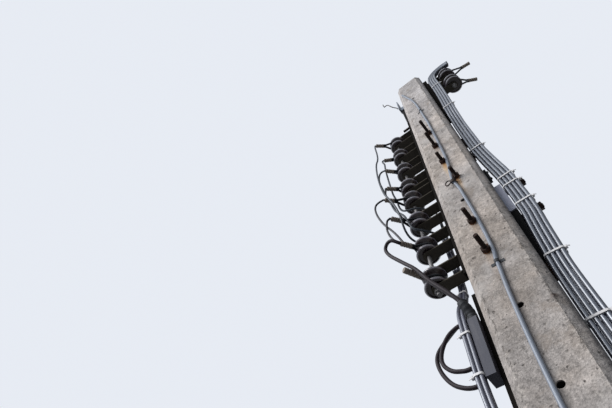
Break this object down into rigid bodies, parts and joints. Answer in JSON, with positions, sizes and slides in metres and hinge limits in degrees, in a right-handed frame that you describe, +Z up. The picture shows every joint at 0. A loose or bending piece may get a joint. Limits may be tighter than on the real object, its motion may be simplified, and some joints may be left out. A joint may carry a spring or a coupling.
{
  "type": "utility pole",
  "caption": "Square tapered concrete utility pole with bolted racks of spool insulators on both sides, line clamps, grey riser cables and a ground conduit.",
  "frame": {"origin": "centre of the shaft's square section at ground level", "axes": "+Z up along the shaft, -Y out of the front face with the conduit and the long bolt threads, -X towards the two four-spool racks, +X towards the riser cables and the two-spool rack"},
  "size_m": [0.7782, 0.3043, 6.5],
  "materials": {
    "concrete": "cast concrete, fine pores, light brown rust stains below the bolts",
    "bolt_steel": "rusted steel",
    "rack_steel": "dark weathered steel",
    "pin_steel": "dull steel",
    "spool_glaze": "dark brown glaze",
    "black_cable": "black cable sheath",
    "clamp_metal": "dull bronze-brown metal",
    "conduit_grey": "grey plastic",
    "clip_black": "black plastic",
    "grey_cable": "light grey cable sheath",
    "tie_white": "white plastic",
    "light_grey_box": "grey paint",
    "galvanised": "dull zinc"
  },
  "bodies": {
    "root": {"shaft": "concrete", "front_bolts": "bolt_steel", "front_nuts": "bolt_steel", "front_washers": "bolt_steel", "back_washers": "bolt_steel", "side_bolts": "bolt_steel", "side_nuts": "bolt_steel", "side_washers": "bolt_steel", "upper_rack": "rack_steel", "lower_rack": "rack_steel", "right_rack": "rack_steel", "upper_rack_pin": "pin_steel", "lower_rack_pin": "pin_steel", "right_rack_pin": "pin_steel", "spool_1": "spool_glaze", "spool_2": "spool_glaze", "spool_3": "spool_glaze", "spool_4": "spool_glaze", "spool_5": "spool_glaze", "spool_6": "spool_glaze", "spool_7": "spool_glaze", "spool_8": "spool_glaze", "right_spool_1": "spool_glaze", "right_spool_2": "spool_glaze", "left_line_loops": "black_cable", "left_line_clamps": "clamp_metal", "left_jumpers": "black_cable", "jumper_sleeve": "black_cable", "right_line_loops": "black_cable", "right_line_clamps": "clamp_metal", "ground_conduit": "conduit_grey", "conduit_clips": "clip_black", "right_riser_front": "grey_cable", "right_riser_back": "grey_cable", "right_ties": "tie_white", "cable_spacer": "light_grey_box", "spacer_bracket": "rack_steel", "left_riser": "grey_cable", "left_ties": "tie_white", "guard_box": "light_grey_box", "guard_bracket": "rack_steel", "drip_loops": "black_cable", "top_bracket": "galvanised", "top_gusset": "rack_steel"}
  },
  "joints": []
}
